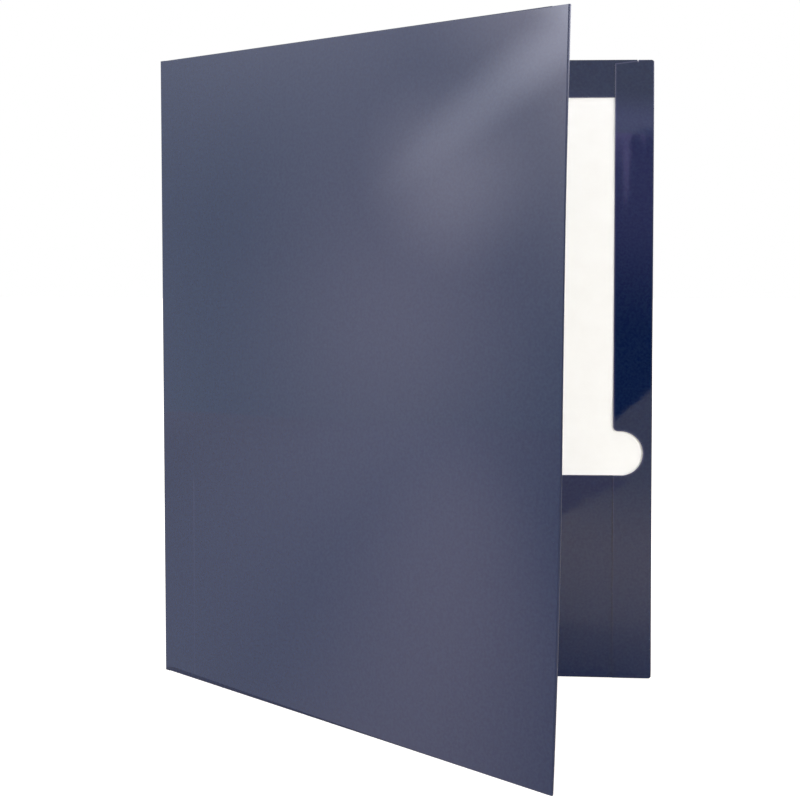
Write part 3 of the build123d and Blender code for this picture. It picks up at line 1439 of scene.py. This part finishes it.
    def front_cards(self) -> list[Card]:
        """Gives the cards that the inside mirrors.

        They are a dark flag with a streak of light on it, a cool card over the flag, a dark room beside it
        with a light band along its top, and a shade on the floor.
        """
        y = -self.card_distance
        shade = [(0.128, -0.45), (0.151, -0.545), (0.163, -0.615), (0.177, -0.7), (0.2025, -0.79)]
        shade += [(0.215, -0.83), (0.12, -0.83), (0.12, -0.45)]
        flag = [(0.15, 0.0), (0.184, 0.0), (0.6, 0.313), (0.6, 0.437), (0.15, 0.437)]
        room = [(-0.45, 0.0), (0.15, 0.0), (0.15, 0.6), (-0.45, 0.6)]
        lamp = Spot((0.0, y, 0.6), (2.0, 1.0, 0.2), Glow(12.0, "#F0EEFF"))
        cool = [(0.15, 0.437), (0.6, 0.437), (0.6, 0.54), (0.15, 0.54)]
        streak = [(0.255, 0.437), (0.255, 0.3), (0.283, 0.33), (0.2855, 0.35), (0.287, 0.364)]
        streak += [(0.2905, 0.382), (0.292, 0.4), (0.2925, 0.42), (0.296, 0.437)]
        dim = [
            Spot((0.3, y, 0.375), (1.0, 1.0, 0.26), Glow(0.88, "#CEBDFF")),
            Spot((0.3, y, 0.452), (1.0, 1.0, 0.035), Glow(0.9, "#D4C8FF")),
            Spot((0.312, y, 0.437), (0.0055, 1.0, 0.045), Glow(0.9, "#CEC0FF")),
        ]
        bright = [
            Spot((0.27, y, 0.45), (1.0, 1.0, 0.1), Glow(1.25, "#CEC0FF")),
            Spot((0.2822, y, 0.367), (0.009, 1.0, 0.08), Glow(1.2, "#CEC0FF"), (0.0, 5.2, 0.0)),
        ]
        over = [
            Spot((0.3, y, 0.465), (1.0, 1.0, 0.09), Glow(1.05, "#A3A3FF")),
            Spot((0.325, y, 0.44), (0.04, 1.0, 0.022), Glow(-0.5)),
        ]
        upright = [
            ("dark_room", room, y, Glow(0.15), [lamp]),
            ("dark_flag", flag, y, Glow(0.0), dim),
            ("streak_card", streak, y + MM, Glow(0.0), [*dim, *bright]),
            ("cool_card", cool, y, Glow(1.0), over),
        ]
        floor_corners = [(across, along, self.card_rise) for across, along in shade]
        cards = [Card("floor_shade", floor_corners, Glow(0.76, "#FFEDF3"), [])]
        for name, outline, along, base, spots in upright:
            cards.append(Card(name, [(across, along, up) for across, up in outline], base, spots))
        return cards

    def right_card(self) -> Card:
        """Gives the dark card that the front cover's free edge mirrors.

        A light band crosses it above the middle. Its ends fade out to the floor and its top to white.
        """
        x, near, far, top = 0.9, -1.0, 0.7, 0.9
        fade, wide, white, pale = 0.4, 40.0, Glow(0.9), Glow(0.66)
        corners = [(x, near, 0.0), (x, far, 0.0), (x, far, top), (x, near, top)]
        spots = [
            Spot((x, 0.0, 0.5), (1.0, wide, 0.15), Glow(12.0, "#F0EEFF")),
            Spot((x, 0.0, top), (1.0, wide, fade), white),
            Spot((x, near, 0.0), (1.0, fade, wide), pale),
            Spot((x, far, 0.0), (1.0, fade, wide), pale),
        ]
        return Card("right_card", corners, Glow(0.1), spots)

    def build_card(self, card: Card) -> None:
        """Stands up a card, which the camera doesn't see.

        Args:
            card: The card.
        """
        mesh = bmesh.new()
        bmesh.ops.contextual_create(mesh, geom=[mesh.verts.new(corner) for corner in card.corners])
        made, tree = start_material(card.name)
        glow = self.spotlit(tree, card.base, card.spots)
        light = add_node(tree, "ShaderNodeEmission", links={"Color": glow})[0]
        piece = self.stage_piece(card.name, mesh, end_material(made, light))
        piece.visible_camera = False
        piece.visible_diffuse = card.lights
        piece.visible_shadow = card.lights

    def stage_piece(self, name: str, mesh: BMesh, material: Material) -> Object:
        """Makes an object of the studio.

        Args:
            name: The object's name.
            mesh: Its shape.
            material: Its material.

        Returns:
            The object.
        """
        data = bpy.data.meshes.new(name)
        mesh.to_mesh(data)
        mesh.free()
        data.materials.append(material)
        made = bpy.data.objects.new(name, data)
        bpy.context.scene.collection.objects.link(made)
        return made


def main() -> None:
    """Builds the folder's pieces and the studio."""
    logging.basicConfig(level=logging.INFO, format="%(name)s: %(message)s")
    bpy.context.scene.view_settings.view_transform = "Standard"
    sizes, finishes = LeafSizes.from_frame(), Finishes()
    back = Leaf(Side.BACK, sizes, finishes, corner_radius=1.5 * MM, bend=0.5 * MM)
    front = Leaf(Side.FRONT, sizes, finishes, corner_radius=0.2 * MM, bend=0.45 * MM)
    leaves = [back, front]
    Studio(back.crease).build()
    assemblies = [part(leaf) for leaf in leaves for part in (Cover, Hems, Pocket, GlueLines)]
    for assembly in [*assemblies, Spine(leaves)]:
        for piece in assembly.build():
            LOG.info("%s: %d faces", piece.name, len(piece.data.polygons))


if __name__ == "__main__":
    main()
